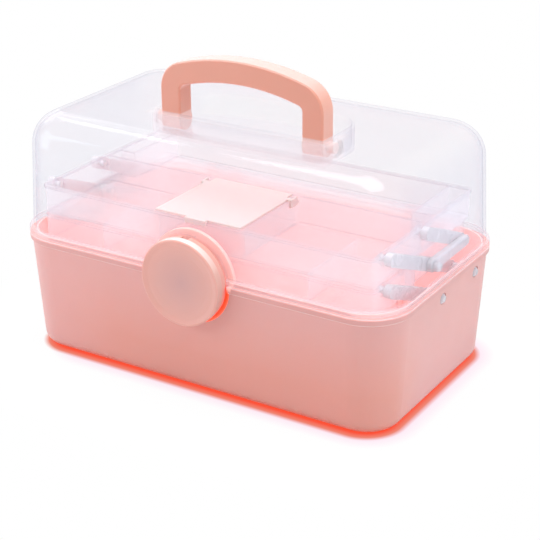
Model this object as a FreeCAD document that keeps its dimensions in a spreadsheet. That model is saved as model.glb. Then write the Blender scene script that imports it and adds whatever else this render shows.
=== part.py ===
import FreeCAD, Part
import math
import os
import re
import Sketcher
from FreeCAD import Placement, Rotation, Vector

# Makeup storage case: a deep tub, a clear hinged lid with a fold-down handle, two clear trays on
# parallelogram arms that swing up and back, and a turning latch knob.
# X runs along the length (right positive), Y from front to rear, Z up.
# The origin is the centre of the underside of the tub.

# ---------------------------------------------------------------- sizes, in millimetres and degrees
SIZES = [
    # outline shared by the tub and the lid
    ("case_length", 330.0), ("case_width", 190.5), ("case_corner", 34.5), ("seam_height", 94.5),
    # tub
    ("tub_wall", 2.2), ("tub_floor", 2.6), ("band_height", 4.8), ("band_step", 1.8),
    ("tub_lean", 5.4), ("tub_base_round", 10.0),
    ("lip_height", 2.2), ("lip_thick", 1.2), ("lip_gap", 0.6),
    ("tub_boss_radius", 6.5), ("tub_hole_chamfer", 0.7),
    ("partition_x", 81.0), ("partition_thick", 1.8), ("partition_height", 62.0), ("partition_gap", 0.3),
    ("rib_thick", 1.6), ("rib_depth", 2.4),
    # lid
    ("lid_height", 96.5), ("lid_wall", 2.0), ("flange_height", 5.5), ("flange_step", 1.5),
    ("lid_lean", 5.2), ("lid_round", 26.0), ("lid_corner", 36.0),
    # recess in the lid's top, for the folded handle
    ("recess_depth", 17.8), ("recess_gap", 2.6), ("recess_front_gap", 3.6),
    ("socket_wall", 2.6), ("socket_floor", 1.6),
    # handle
    ("handle_half_width", 70.6), ("handle_bar", 17.6), ("handle_depth", 16.0), ("handle_edge", 1.1),
    ("handle_rise", 46.3), ("handle_arch_radius", 188.5), ("handle_shoulder", 22.5),
    ("handle_y", -14.4), ("trunnion_radius", 4.2), ("trunnion_length", 6.6),
    # lid hinge at the rear
    ("hinge_x", 95.0), ("hinge_offset", 4.2), ("knuckle_radius", 3.6), ("knuckle_tub", 9.0),
    ("knuckle_lid", 14.0), ("knuckle_gap", 0.4), ("hinge_pin_radius", 1.5), ("hinge_pin_head", 2.6),
    ("hinge_pin_head_thick", 1.0),
    # arms and rails
    ("pitch_y", 55.5), ("pitch_z", 23.8), ("first_pivot_in", 18.8), ("tub_pivot_drop", 13.0),
    ("arm_width", 10.0), ("arm_thick", 5.5), ("rail_edge", 1.2), ("arm_side_gap", 0.8),
    ("stub_radius", 3.8), ("stub_dome", 1.6), ("stub_out", 1.4), ("free_stub_length", 9.6),
    ("pin_radius", 2.4), ("pin_length", 5.0), ("run_gap", 0.06), ("inner_arm_thick", 5.0),
    ("inner_arm_gap", 1.0), ("rail_thick", 4.6), ("rail_front_radius", 5.0), ("rail_rear_radius", 4.4),
    ("rail_gap", 0.3), ("rail_pin_length", 3.0),
    # trays
    ("tray_side_room", 20.8), ("tray_front_room", 14.15), ("tray_rear_room", 14.35), ("tray_rim_rise", 5.3),
    ("tray_height", 23.2), ("tray_wall", 1.8), ("tray_floor", 1.8), ("tray_corner", 6.0),
    ("tray_rim_step", 0.8), ("tray_rim_height", 2.2), ("tray_inner_corner", 2.5), ("tray_base_edge", 1.2),
    ("divider_y", 0.0), ("centre_divider_x", 37.5), ("side_pocket", 18.2), ("upper_step_y", 15.0),
    ("lower_divider_x", 90.0), ("lower_step_front", 8.0), ("tray_boss_radius", 4.8),
    ("tray_boss_length", 2.6),
    # hinged cover of the middle compartment
    ("cover_half_width", 37.0), ("cover_thick", 1.6), ("cover_rear", 3.5), ("cover_lift", 0.1),
    ("cover_front_gap", 0.8), ("cover_axis_y", -7.0), ("cover_axis_drop", 2.4), ("cover_ear_thick", 1.8),
    ("cover_ear_gap", 0.4), ("cover_ear_radius", 2.2), ("cover_bridge_front", 9.0), ("cover_bridge_rear", 5.0),
    ("cover_pin_radius", 1.2), ("cover_tab_half", 9.0), ("cover_tab_out", 2.2), ("cover_tab_gap", 0.8),
    ("cover_tab_drop", 2.4),
    # latch
    ("latch_drop", 0.8), ("knob_radius", 33.4), ("knob_out", 10.25), ("knob_depth", 6.2),
    ("knob_rim", 1.8), ("knob_dish", 1.8), ("knob_dish_run", 9.0), ("knob_edge", 0.9), ("knob_skin", 2.2),
    ("seat_radius", 34.1), ("seat_wall", 2.2), ("plate_in", 6.75), ("plate_thick", 3.0),
    ("cam_radius", 32.4), ("cam_in", 1.85), ("peg_radius", 2.5), ("peg_track_radius", 26.0),
    ("peg_gap", 0.7), ("peg_reach", 3.5), ("tab_half", 6.0), ("tab_in", 2.25), ("tab_thick", 1.7),
    ("shaft_radius", 6.0), ("shaft_play", 0.3), ("washer_radius", 9.0), ("washer_thick", 1.1),
    ("screw_head_radius", 3.6), ("screw_head_thick", 1.5), ("screw_radius", 1.6), ("screw_length", 8.0),
    ("arch_wall", 1.4), ("arch_front_in", 0.9), ("arch_rear_in", 3.8),
]

# Sizes worked out from the ones above, each written once.
WORKED = {
    "half_length": "case_length / 2",
    "half_width": "case_width / 2",
    "band_z": "seam_height - band_height",
    "lid_top": "seam_height + lid_height",
    "inner_inset": "flange_step + lid_wall",
    "lip_inset": "inner_inset + lip_gap",
    "mouth_inset": "lip_inset + lip_thick",
    "lip_corner": "lid_corner - lid_wall - lip_gap",
    "mouth_corner": "lip_corner - lip_thick",
    "lid_base_z": "seam_height + flange_height",
    "tray_length": "case_length - 2 * tray_side_room",
    "tray_front": "half_width - tray_front_room",
    "tray_rear": "half_width - tray_rear_room",
    "arm_inner_x": "tray_length / 2 + arm_side_gap",
    "arm_outer_x": "arm_inner_x + arm_thick",
    "arm_length": "sqrt(pitch_y * pitch_y + pitch_z * pitch_z)",
    "first_pivot_y": "first_pivot_in - tray_front",
    "mid_pivot_y": "first_pivot_y + pitch_y",
    "rear_pivot_y": "first_pivot_y + 2 * pitch_y",
    "tub_pivot_z": "seam_height - tub_pivot_drop",
    "lower_pivot_z": "tub_pivot_z + pitch_z",
    "upper_pivot_z": "tub_pivot_z + 2 * pitch_z",
    "tray_rim_z": "upper_pivot_z + tray_rim_rise",
    "inner_arm_outer_x": "arm_inner_x - inner_arm_gap",
    "inner_arm_inner_x": "inner_arm_outer_x - inner_arm_thick",
    "lower_step_x": "inner_arm_inner_x - inner_arm_gap",
    "inner_lean": "band_step + tub_lean + tub_wall - mouth_inset",
    "wall_out_x": "half_length - band_step - tub_lean * (1 - tub_pivot_z / band_z)",
    "handle_pivot_z": "lid_top - handle_depth / 2",
    "handle_top": "lid_top + handle_rise",
    "recess_floor_z": "lid_top - recess_depth",
    "hinge_y": "half_width + hinge_offset",
    "tray_wall_x": "tray_length / 2 - tray_rim_step",
    "tray_inner_x": "tray_wall_x - tray_wall",
    "tray_inner_front": "-(tray_front - tray_rim_step - tray_wall)",
    "tray_inner_rear": "tray_rear - tray_rim_step - tray_wall",
    "lower_step_y": "mid_pivot_y - lower_step_front",
    "upper_step_x": "tray_length / 2 - side_pocket",
    "cover_axis_z": "tray_rim_z - cover_axis_drop",
    "cover_z": "tray_rim_z + cover_lift",
    "cover_ear_x": "centre_divider_x + tray_wall / 2 + cover_ear_gap",
    "latch_z": "seam_height - latch_drop",
    "plate_front": "half_width - plate_in",
    "shaft_rear": "plate_front - plate_thick - shaft_play",
    "cam_rear": "half_width - cam_in",
    "knob_front": "half_width + knob_out",
    "cam_front": "knob_front - knob_depth",
    "tab_front": "half_width - tab_in",
    "arch_front": "half_width - arch_front_in",
    "arch_rear": "half_width - arch_rear_in",
    "plate_rear": "plate_thick - plate_front",
}

doc = FreeCAD.newDocument("MakeupCase")
sheet = doc.addObject("Spreadsheet::Sheet", "Sizes")
for row, (alias, size) in enumerate(SIZES, start=1):
    sheet.set("A%d" % row, alias)
    sheet.set("B%d" % row, str(size))
    sheet.setAlias("B%d" % row, alias)
doc.recompute()
ALIASES = {alias for alias, size in SIZES}


def spelled(text):
    """The formula with worked-out names written in full and sheet cells named."""
    def one(found):
        word = found.group(0)
        if word in WORKED:
            return "(" + spelled(WORKED[word]) + ")"
        return "Sizes." + word if word in ALIASES else word
    return re.sub(r"[A-Za-z_]+", one, text)


def number(text):
    """The value of a formula, read through the sheet."""
    return float(sheet.evalExpression(spelled(text)))


def bind(thing, prop, text):
    thing.setExpression(prop, spelled(text))


# ---------------------------------------------------------------- drawing helpers
def new_body(name):
    return doc.addObject("PartDesign::Body", name)


def new_sketch(body, name, plane="XY_Plane", height="0"):
    """A sketch on one of the body's own origin planes, moved along the plane's normal by height."""
    sketch = body.newObject("Sketcher::SketchObject", name)
    support = next(item for item in body.Origin.OriginFeatures if item.Role == plane)
    sketch.AttachmentSupport = [(support, "")]
    sketch.MapMode = "FlatFace"
    sketch.AttachmentOffset = Placement(Vector(0, 0, number(height)), Rotation())
    bind(sketch, "AttachmentOffset.Base.z", height)
    return sketch


def add(sketch, *rule):
    return sketch.addConstraint(Sketcher.Constraint(*rule))


def size(sketch, text, *rule):
    """A dimension whose value is a formula."""
    index = add(sketch, *rule, number(text))
    bind(sketch, "Constraints[%d]" % index, text)


def line(sketch, start, end):
    return sketch.addGeometry(Part.LineSegment(Vector(*start, 0), Vector(*end, 0)), False)


def arc(sketch, centre, radius, first, last):
    circle_shape = Part.Circle(Vector(*centre, 0), Vector(0, 0, 1), radius)
    return sketch.addGeometry(Part.ArcOfCircle(circle_shape, math.radians(first), math.radians(last)), False)


def circle(sketch, across, up, radius):
    """A circle with its centre and radius given as formulas."""
    shape = Part.Circle(Vector(number(across), number(up), 0), Vector(0, 0, 1), number(radius))
    ring = sketch.addGeometry(shape, False)
    size(sketch, across, "DistanceX", -1, 1, ring, 3)
    size(sketch, up, "DistanceY", -1, 1, ring, 3)
    size(sketch, radius, "Radius", ring)


def rectangle(sketch, left, right, low, high):
    """A sharp-cornered rectangle between four formulas."""
    x0, x1, y0, y1 = number(left), number(right), number(low), number(high)
    corners = [(x0, y0), (x1, y0), (x1, y1), (x0, y1)]
    edges = [line(sketch, corners[i], corners[(i + 1) % 4]) for i in range(4)]
    for i in range(4):
        add(sketch, "Coincident", edges[i], 2, edges[(i + 1) % 4], 1)
        add(sketch, "Vertical" if i % 2 else "Horizontal", edges[i])
    size(sketch, left, "DistanceX", -1, 1, edges[0], 1)
    size(sketch, low, "DistanceY", -1, 1, edges[0], 1)
    size(sketch, right, "DistanceX", -1, 1, edges[2], 1)
    size(sketch, high, "DistanceY", -1, 1, edges[2], 1)


def rounded(sketch, left, right, low, high, corner):
    """A rectangle between four formulas with tangent corner arcs."""
    x0, x1, y0, y1, r = (number(text) for text in (left, right, low, high, corner))
    bottom = line(sketch, (x0 + r, y0), (x1 - r, y0))
    east = line(sketch, (x1, y0 + r), (x1, y1 - r))
    top = line(sketch, (x1 - r, y1), (x0 + r, y1))
    west = line(sketch, (x0, y1 - r), (x0, y0 + r))
    arcs = [arc(sketch, (x1 - r, y0 + r), r, 270, 360), arc(sketch, (x1 - r, y1 - r), r, 0, 90),
            arc(sketch, (x0 + r, y1 - r), r, 90, 180), arc(sketch, (x0 + r, y0 + r), r, 180, 270)]
    sides = [bottom, east, top, west]
    for i in range(4):
        add(sketch, "Tangent", sides[i], 2, arcs[i], 1)
        add(sketch, "Tangent", arcs[i], 2, sides[(i + 1) % 4], 1)
        add(sketch, "Vertical" if i % 2 else "Horizontal", sides[i])
    for other in arcs[1:]:
        add(sketch, "Equal", arcs[0], other)
    size(sketch, corner, "Radius", arcs[0])
    size(sketch, low, "DistanceY", -1, 1, bottom, 1)
    size(sketch, right, "DistanceX", -1, 1, east, 1)
    size(sketch, high, "DistanceY", -1, 1, top, 1)
    size(sketch, left, "DistanceX", -1, 1, west, 1)


def centred(sketch, half_x, half_y, corner):
    """A rounded rectangle about the origin."""
    rounded(sketch, "-(%s)" % half_x, half_x, "-(%s)" % half_y, half_y, corner)


def outline(sketch, corners):
    """A closed outline of straight edges, its corners given as (across, up) formulas."""
    points = [(number(across), number(up)) for across, up in corners]
    edges = [line(sketch, points[i], points[(i + 1) % len(points)]) for i in range(len(points))]
    for i, (across, up) in enumerate(corners):
        add(sketch, "Coincident", edges[i - 1], 2, edges[i], 1)
        size(sketch, across, "DistanceX", -1, 1, edges[i], 1)
        size(sketch, up, "DistanceY", -1, 1, edges[i], 1)


def bevelled(sketch, left, right, low, high, edge):
    """A rectangle between four formulas with cut corners."""
    outline(sketch, [("%s + %s" % (left, edge), low), ("%s - %s" % (right, edge), low),
                     (right, "%s + %s" % (low, edge)), (right, "%s - %s" % (high, edge)),
                     ("%s - %s" % (right, edge), high), ("%s + %s" % (left, edge), high),
                     (left, "%s - %s" % (high, edge)), (left, "%s + %s" % (low, edge))])


def link(sketch, length, near_radius, far_radius):
    """The outline of a bar: two round ends, at the origin and at (length, 0), joined by tangents."""
    run, near, far = number(length), number(near_radius), number(far_radius)
    lean = math.degrees(math.asin((near - far) / run))
    up, down = 90 - lean, 270 + lean
    near_arc = arc(sketch, (0, 0), near, up, down)
    far_arc = arc(sketch, (run, 0), far, down, 360 + up)

    def rim(centre, radius, angle):
        turn = math.radians(angle)
        return (centre + radius * math.cos(turn), radius * math.sin(turn))
    low = line(sketch, rim(0, near, down), rim(run, far, down))
    high = line(sketch, rim(run, far, up), rim(0, near, up))
    add(sketch, "Coincident", near_arc, 3, -1, 1)
    add(sketch, "PointOnObject", far_arc, 3, -1)
    for first, second in ((near_arc, low), (low, far_arc), (far_arc, high), (high, near_arc)):
        add(sketch, "Tangent", first, 2, second, 1)
    size(sketch, near_radius, "Radius", near_arc)
    size(sketch, far_radius, "Radius", far_arc)
    size(sketch, length, "DistanceX", -1, 1, far_arc, 3)


# ---------------------------------------------------------------- feature helpers
def pad(body, name, sketch, length, backwards=False):
    feature = body.newObject("PartDesign::Pad", name)
    feature.Profile = sketch
    bind(feature, "Length", length)
    feature.Reversed = backwards
    doc.recompute()
    return feature


def pocket(body, name, sketch, length, backwards=False):
    """Cuts along the sketch's normal, and makes sure that something was cut."""
    before = body.Shape.Volume
    feature = body.newObject("PartDesign::Pocket", name)
    feature.Profile = sketch
    bind(feature, "Length", length)
    feature.Reversed = not backwards
    doc.recompute()
    if not feature.Shape.Volume < before - 1e-6:
        raise RuntimeError(name + " cuts nothing")
    return feature


def revolve(body, name, sketch, axis):
    feature = body.newObject("PartDesign::Revolution", name)
    feature.Profile = sketch
    feature.ReferenceAxis = (sketch, [axis])
    feature.Angle = 360
    doc.recompute()
    return feature


def soften(body, name, base, radius, wanted, kind="Fillet"):
    """Rounds or bevels the edges of base for which wanted(edge) holds."""
    names = ["Edge%d" % i for i, edge in enumerate(base.Shape.Edges, start=1) if wanted(edge)]
    if not names:
        raise RuntimeError(name + " finds no edge")
    feature = body.newObject("PartDesign::" + kind, name)
    feature.Base = (base, names)
    bind(feature, "Radius" if kind == "Fillet" else "Size", radius)
    doc.recompute()
    return feature


def flat_at(axis, text):
    """Picks the edges that lie wholly in the plane where the axis coordinate is the formula's value."""
    place = number(text)

    def wanted(edge):
        box = edge.BoundBox
        low, high = getattr(box, axis + "Min"), getattr(box, axis + "Max")
        return abs(low - place) < 1e-3 and abs(high - place) < 1e-3
    return wanted


AXES = {"x": Rotation(Vector(0, 1, 0), 90), "y": Rotation(Vector(1, 0, 0), -90), "z": Rotation()}


def rod(name, axis, radius, start, end, x="0", y="0", z="0"):
    """A cylinder along an axis, between the formulas start and end."""
    cylinder = doc.addObject("Part::Cylinder", name)
    bind(cylinder, "Radius", radius)
    bind(cylinder, "Height", "(%s) - (%s)" % (end, start))
    cylinder.Placement = Placement(Vector(), AXES[axis])
    places = {"x": x, "y": y, "z": z}
    places[axis] = start
    for name_of_axis, text in places.items():
        bind(cylinder, "Placement.Base." + name_of_axis, text)
    return cylinder


def block(name, left, right, front, rear, low, high):
    """A box between six formulas."""
    box = doc.addObject("Part::Box", name)
    for prop, axis, start, end in (("Length", "x", left, right), ("Width", "y", front, rear),
                                   ("Height", "z", low, high)):
        bind(box, prop, "(%s) - (%s)" % (end, start))
        bind(box, "Placement.Base." + axis, start)
    return box


def cut(name, base, *tools):
    result = doc.addObject("Part::Cut", name)
    result.Base = base
    result.Tool = tools[0] if len(tools) == 1 else fuse(name + "_tools", *tools)
    return result


def fuse(name, *pieces):
    result = doc.addObject("Part::MultiFuse", name)
    result.Shapes = list(pieces)
    result.Refine = True
    return result


NODES = []


def node(label, thing):
    """Marks a finished sub-part. Its label names its file."""
    thing.Label = label
    NODES.append(thing)
    return thing


# ---------------------------------------------------------------- tub
def inset_outline(body, name, height, inset_x, inset_y, corner):
    sketch = new_sketch(body, name, "XY_Plane", height)
    centred(sketch, "half_length - (%s)" % inset_x, "half_width - (%s)" % inset_y, corner)
    return sketch


def leaning(name, wide, narrow, inset, corner, lean, rounding, kind="Fillet"):
    """A round-cornered solid between two heights. Its walls lean in by lean on their way from the wide end,
    where they are inset from the case's outline, to the narrow end, whose edge is rounded."""
    body = new_body(name)
    down = number(narrow) < number(wide)
    run = "(%s) - (%s)" % ((wide, narrow) if down else (narrow, wide))
    upright = pad(body, name + "_upright", inset_outline(body, name + "_outline", wide, inset, inset, corner),
                  run, down)
    faces = ["Face%d" % i for i, face in enumerate(upright.Shape.Faces, start=1) if face.BoundBox.ZLength > 1]
    start = next(i for i, face in enumerate(upright.Shape.Faces, start=1)
                 if face.BoundBox.ZLength < 1e-3 and abs(face.BoundBox.ZMin - number(wide)) < 1e-3)
    draft = body.newObject("PartDesign::Draft", name + "_draft")
    draft.Base = (upright, faces)
    draft.NeutralPlane = (upright, ["Face%d" % start])
    bind(draft, "Angle", "atan((%s) / (%s))" % (lean, run))
    doc.recompute()
    if draft.Shape.Volume > upright.Shape.Volume:
        draft.Reversed = True
        doc.recompute()
    soften(body, name + "_round", draft, rounding, flat_at("Z", narrow), kind)
    return body


def side_rods(name, radius, start, end, y, z):
    """One rod on each side of the case, from x = start outwards to x = end."""
    return [rod(name + "_right", "x", radius, start, end, y=y, z=z),
            rod(name + "_left", "x", radius, "-(%s)" % end, "-(%s)" % start, y=y, z=z)]


def knuckles(name, start, end, low, high):
    """Hinge barrels with the webs that join them to the rim, for both hinges."""
    pieces = []
    for side, place in (("right", "hinge_x"), ("left", "-hinge_x")):
        left, right = "%s + (%s)" % (place, start), "%s + (%s)" % (place, end)
        pieces.append(rod("%s_barrel_%s" % (name, side), "x", "knuckle_radius", left, right,
                          y="hinge_y", z="seam_height"))
        pieces.append(block("%s_web_%s" % (name, side), left, right,
                            "half_width - flange_step", "hinge_y", low, high))
    return pieces


def hinge_bores(name, radius):
    reach = "knuckle_lid / 2 + knuckle_gap + knuckle_tub + hinge_pin_head_thick"
    return [rod("%s_%s" % (name, side), "x", radius, "%s - (%s)" % (place, reach), "%s + (%s)" % (place, reach),
                y="hinge_y", z="seam_height") for side, place in (("right", "hinge_x"), ("left", "-hinge_x"))]


def make_tub():
    outer = leaning("tub_outer", "band_z", "0", "band_step", "case_corner - band_step", "tub_lean",
                    "tub_base_round")
    band = new_body("tub_band")
    pad(band, "tub_band_pad", inset_outline(band, "tub_band_outline", "band_z", "0", "0", "case_corner"),
        "band_height")
    soften(band, "tub_band_edge", band.Tip, "band_step / 2", flat_at("Z", "band_z"), "Chamfer")
    lip = new_body("tub_lip")
    pad(lip, "tub_lip_pad", inset_outline(lip, "tub_lip_outline", "band_z", "lip_inset", "lip_inset",
                                          "lip_corner"), "band_height + lip_height")
    inside = leaning("tub_inside", "seam_height + lip_height + tub_wall", "tub_floor", "mouth_inset",
                     "mouth_corner", "inner_lean", "tub_base_round / 2", "Chamfer")

    # The latch plate is a disc standing behind the front wall. Below the rim it is the floor of a round
    # seat sunk in the wall, and above the rim it stands up behind the arch of the lid.
    seat_shell = rod("tub_seat_shell", "y", "seat_radius + seat_wall", "-half_width - case_corner",
                     "plate_rear", z="latch_z")
    plate = rod("tub_latch_plate", "y", "seat_radius + seat_wall", "-plate_front", "plate_rear", z="latch_z")
    seat = rod("tub_seat", "y", "seat_radius", "-half_width - case_corner", "-plate_front", z="latch_z")
    shaft_hole = rod("tub_shaft_hole", "y", "shaft_radius + run_gap", "-plate_front - plate_thick",
                     "plate_rear + plate_thick", z="latch_z")

    # Bearings for the outward stubs of the four lower arms.
    boss_start = "arm_outer_x + rail_gap"
    bosses, holes, bevels = [], [], []
    for at, y in (("front", "mid_pivot_y"), ("rear", "rear_pivot_y")):
        bosses += side_rods("tub_boss_" + at, "tub_boss_radius", boss_start, "wall_out_x - tub_wall / 2", y,
                            "tub_pivot_z")
        holes += side_rods("tub_hole_" + at, "stub_radius + run_gap", "inner_arm_inner_x",
                           "half_length + tub_wall", y, "tub_pivot_z")
        bevels += side_rods("tub_bevel_" + at, "stub_radius + run_gap + tub_hole_chamfer",
                            "wall_out_x - tub_hole_chamfer", "half_length + tub_wall", y, "tub_pivot_z")

    tub_knuckles = []
    lid_half = "knuckle_lid / 2 + knuckle_gap"
    for at, start, end in (("out", lid_half, lid_half + " + knuckle_tub"),
                           ("in", "-(%s + knuckle_tub)" % lid_half, "-(%s)" % lid_half)):
        tub_knuckles += knuckles("tub_knuckle_" + at, start, end, "seam_height - knuckle_radius", "seam_height")

    # Guide ribs on the front and rear walls, either side of the partition plate.
    ribs = []
    rib_offset = "(partition_thick / 2 + partition_gap)"
    rib_inset = "(half_width - band_step - tub_lean - tub_wall - rib_depth)"
    for at, left, right in (("left", "partition_x - %s - rib_thick" % rib_offset, "partition_x - " + rib_offset),
                            ("right", "partition_x + " + rib_offset, "partition_x + %s + rib_thick" % rib_offset)):
        ribs.append(block("tub_rib_front_" + at, left, right, "-half_width", "-" + rib_inset, "0",
                          "tub_floor + partition_height"))
        ribs.append(block("tub_rib_rear_" + at, left, right, rib_inset, "half_width", "0",
                          "tub_floor + partition_height"))

    solid = fuse("tub_solid", outer, band, lip)
    space = cut("tub_space", inside, seat_shell, *ribs)
    shell = cut("tub_shell", solid, space)
    filled = fuse("tub_filled", shell, plate, *bosses, *tub_knuckles)
    node("tub", cut("tub_cut", filled, seat, shaft_hole, *holes, *bevels,
                    *hinge_bores("tub_pin_bore", "hinge_pin_radius + run_gap")))


def make_partition():
    """An upright plate that divides the tub, with a foot flange, cut to the shape of the tub's inside."""
    plate = block("partition_plate", "partition_x - partition_thick / 2", "partition_x + partition_thick / 2",
                  "-half_width", "half_width", "tub_floor", "tub_floor + partition_height")
    room = leaning("partition_room", "seam_height + lip_height + tub_wall", "tub_floor",
                   "mouth_inset + partition_gap", "mouth_corner - partition_gap", "inner_lean",
                   "tub_base_round / 2", "Chamfer")
    trimmed = doc.addObject("Part::Common", "partition_trimmed")
    trimmed.Base = plate
    trimmed.Tool = room
    node("tub_partition", trimmed)


# ---------------------------------------------------------------- lid
def arch_outline(sketch, half, base, peak, shoulder, crown):
    """A flat-bottomed outline with upright sides, round shoulders and a crown of large radius."""
    w, y0, y1, r, big = (number(text) for text in (half, base, peak, shoulder, crown))
    middle = y1 - big
    shoulder_x = w - r
    shoulder_y = middle + math.sqrt((big - r) ** 2 - shoulder_x ** 2)
    turn = math.degrees(math.atan2(shoulder_y - middle, shoulder_x))
    crown_arc = arc(sketch, (0, middle), big, turn, 180 - turn)
    right_arc = arc(sketch, (shoulder_x, shoulder_y), r, 0, turn)
    left_arc = arc(sketch, (-shoulder_x, shoulder_y), r, 180 - turn, 180)
    right = line(sketch, (w, y0), (w, shoulder_y))
    left = line(sketch, (-w, shoulder_y), (-w, y0))
    bottom = line(sketch, (-w, y0), (w, y0))
    chain = [bottom, right, right_arc, crown_arc, left_arc, left]
    for first, second in zip(chain[1:], chain[2:]):
        add(sketch, "Tangent", first, 2, second, 1)
    add(sketch, "Coincident", bottom, 2, right, 1)
    add(sketch, "Coincident", left, 2, bottom, 1)
    add(sketch, "Vertical", right)
    add(sketch, "Vertical", left)
    add(sketch, "Horizontal", bottom)
    add(sketch, "PointOnObject", crown_arc, 3, -2)
    add(sketch, "Equal", right_arc, left_arc)
    size(sketch, shoulder, "Radius", right_arc)
    size(sketch, crown, "Radius", crown_arc)
    size(sketch, "(%s) - (%s)" % (peak, crown), "DistanceY", -1, 1, crown_arc, 3)
    size(sketch, half, "DistanceX", -1, 1, right, 1)
    size(sketch, base, "DistanceY", -1, 1, right, 1)


def recess_form(name, grow, low, high):
    """The room of the folded handle with its running gap, grown on every side."""
    body = new_body(name)
    sketch = new_sketch(body, name + "_outline", "XY_Plane", low)
    gap = "recess_gap + (%s)" % grow
    arch_outline(sketch, "handle_half_width + " + gap,
                 "handle_y - handle_depth / 2 - recess_front_gap - (%s)" % grow,
                 "handle_y + handle_top - handle_pivot_z + " + gap,
                 "handle_shoulder + " + gap, "handle_arch_radius + " + gap)
    pad(body, name + "_pad", sketch, "(%s) - (%s)" % (high, low))
    return body


def make_lid():
    outer = leaning("lid_outer", "seam_height", "lid_top", "flange_step", "lid_corner", "lid_lean", "lid_round")
    flange = new_body("lid_flange")
    pad(flange, "lid_flange_pad", inset_outline(flange, "lid_flange_outline", "seam_height", "0", "0",
                                                "case_corner"), "flange_height")
    soften(flange, "lid_flange_edge", flange.Tip, "flange_step / 2", flat_at("Z", "lid_base_z"), "Chamfer")
    inside = leaning("lid_inside", "seam_height - lid_wall", "lid_top - lid_wall", "inner_inset",
                     "lid_corner - lid_wall", "lid_lean", "lid_round - lid_wall")
    recess = recess_form("lid_recess", "0", "recess_floor_z", "lid_top + lid_wall")
    recess_skin = recess_form("lid_recess_skin", "lid_wall", "recess_floor_z - lid_wall", "lid_top")

    # Blind bearings for the handle's trunnions, moulded on the ends of the recess.
    socket_start = "handle_half_width + recess_gap"
    socket_end = "handle_half_width + trunnion_length + run_gap * 5"
    sockets = side_rods("lid_socket", "trunnion_radius + socket_wall", socket_start,
                        socket_end + " + socket_floor", "handle_y", "handle_pivot_z")
    bores = side_rods("lid_socket_bore", "trunnion_radius + run_gap", "handle_half_width", socket_end,
                      "handle_y", "handle_pivot_z")

    # The front wall and flange step round the knob in an arch. A tongue hangs from the crown of the arch
    # and carries the peg that runs in the track of the latch cam.
    arch = rod("lid_arch", "y", "seat_radius + arch_wall", "-arch_front", "-arch_rear", z="latch_z")
    below = block("lid_below", "-half_length", "half_length", "-half_width - arch_front", "0",
                  "seam_height - case_corner - seat_radius", "seam_height")
    arch_half = cut("lid_arch_half", arch, below)
    opening = rod("lid_arch_opening", "y", "seat_radius", "-half_width - arch_front", "plate_rear", z="latch_z")
    tongue = block("lid_tongue", "-tab_half", "tab_half", "-tab_front", "tab_thick - tab_front",
                   "latch_z + peg_track_radius - peg_radius - tab_thick", "latch_z + seat_radius + tab_thick")
    peg = rod("lid_peg", "y", "peg_radius", "-tab_front - peg_reach", "-tab_front",
              z="latch_z + peg_track_radius")

    lid_knuckles = knuckles("lid_knuckle", "-knuckle_lid / 2", "knuckle_lid / 2", "seam_height",
                            "seam_height + knuckle_radius")
    solid = fuse("lid_solid", outer, flange)
    space = cut("lid_space", inside, recess_skin, *sockets)
    shell = cut("lid_shell", solid, space)
    arched = cut("lid_arched", fuse("lid_with_arch", shell, arch_half), opening)
    filled = fuse("lid_filled", arched, tongue, peg, *lid_knuckles)
    node("lid", cut("lid_cut", filled, recess, *bores,
                    *hinge_bores("lid_pin_bore", "hinge_pin_radius + run_gap")))


def make_hinge_pins():
    """One headed pin for each lid hinge."""
    reach = "(knuckle_lid / 2 + knuckle_gap + knuckle_tub)"
    pins = []
    for side, place in (("right", "hinge_x"), ("left", "-hinge_x")):
        shank = rod("hinge_shank_" + side, "x", "hinge_pin_radius", "%s - %s" % (place, reach),
                    "%s + %s" % (place, reach), y="hinge_y", z="seam_height")
        head = rod("hinge_head_" + side, "x", "hinge_pin_head", "%s + %s" % (place, reach),
                   "%s + %s + hinge_pin_head_thick" % (place, reach), y="hinge_y", z="seam_height")
        pins.append(fuse("hinge_pin_" + side, shank, head))
    node("lid_hinge_pins", fuse("hinge_pins", *pins))


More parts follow.
